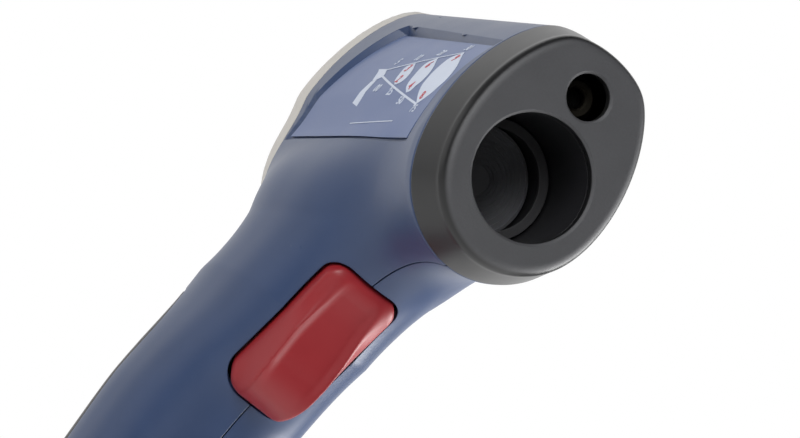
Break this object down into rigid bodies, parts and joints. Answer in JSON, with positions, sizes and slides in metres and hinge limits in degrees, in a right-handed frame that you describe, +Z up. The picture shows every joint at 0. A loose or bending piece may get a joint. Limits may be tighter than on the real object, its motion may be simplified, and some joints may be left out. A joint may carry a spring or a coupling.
{
  "type": "infrared thermometer",
  "caption": "Pistol-shaped infrared thermometer with a nose cap for sensor and laser, rear display, trigger and battery cover.",
  "frame": {"origin": "centre of the flat base of the handle", "axes": "+Z up from the base, the nose points along -Y, +X is to the right seen from the nose, so the label side is -X"},
  "size_m": [0.044, 0.118, 0.1464],
  "materials": {
    "housing": "fine moulded grain, satin",
    "nose_rubber": "spark-eroded texture on the face, satin sides",
    "tunnel_plastic": "black moulded",
    "lens_plastic": "grooved Fresnel polyethylene",
    "steel": "bright",
    "board": "solder mask",
    "brass": "turned",
    "clear_plastic": "polished",
    "fascia": "fine texture",
    "lcd_glass": "polished",
    "key_rubber": "soft matt",
    "chip": "moulded epoxy",
    "flex": "polyimide film",
    "battery_can": "lacquered sleeve",
    "lead_red": "insulated wire",
    "lead_black": "insulated wire",
    "cover": "fine ribbed texture",
    "trigger_plastic": "satin",
    "label": "printed film"
  },
  "bodies": {
    "housing": {"housing_left": "housing", "housing_right": "housing", "nose_cap": "nose_rubber", "sensor_tunnel": "tunnel_plastic", "lens_ring": "tunnel_plastic", "fresnel_lens": "lens_plastic", "sensor_holder": "tunnel_plastic", "thermopile_sensor": "steel", "sensor_board": "board", "laser_barrel": "brass", "laser_lens": "clear_plastic", "rear_fascia": "fascia", "display_window": "clear_plastic", "lcd_panel": "lcd_glass", "lcd_frame": "tunnel_plastic", "key_mat": "key_rubber", "display_board": "board", "controller_chip": "chip", "buzzer": "chip", "flex_cable": "flex", "battery": "battery_can", "battery_snap": "chip", "lead_positive": "lead_red", "lead_negative": "lead_black", "trigger_pin": "steel", "trigger_spring": "steel", "trigger_switch": "chip", "switch_board": "board", "side_label": "label", "screw_base": "steel", "screw_grip": "steel", "screw_neck": "steel", "screw_crown_front": "steel", "screw_crown_rear": "steel"},
    "trigger": {"trigger": "trigger_plastic"},
    "plunger": {"switch_plunger": "steel"},
    "cover": {"battery_cover": "cover"},
    "key_right": {"key_right": "key_rubber"},
    "key_middle": {"key_middle": "key_rubber"},
    "key_left": {"key_left": "key_rubber"}
  },
  "joints": [
    {"name": "trigger_pull", "type": "hinge", "parent": "housing", "child": "trigger", "pos_m": [0, -0.04143, 0.07462], "axis": [1, 0, 0], "range_deg": [0, 3], "stiffness_Nm_per_rad": 0.6, "springref_deg": -2.86},
    {"name": "plunger_press", "type": "slide", "parent": "housing", "child": "plunger", "axis": [0, 0.8261, 0.5635], "range_m": [0, 0.0011]},
    {"name": "cover_swing", "type": "hinge", "parent": "housing", "child": "cover", "pos_m": [0, 0.01836, 0.003], "axis": [-1, 0, 0], "range_deg": [0, 75]},
    {"name": "key_right_press", "type": "slide", "parent": "housing", "child": "key_right", "axis": [0, -1, 0], "range_m": [0, 0.0007], "stiffness_N_per_m": 900},
    {"name": "key_middle_press", "type": "slide", "parent": "housing", "child": "key_middle", "axis": [0, -1, 0], "range_m": [0, 0.0007], "stiffness_N_per_m": 900},
    {"name": "key_left_press", "type": "slide", "parent": "housing", "child": "key_left", "axis": [0, -1, 0], "range_m": [0, 0.0007], "stiffness_N_per_m": 900}
  ],
  "couplings": [
    {"joint": "plunger_press", "follows": "trigger_pull", "m_per_rad": 0.0196}
  ]
}
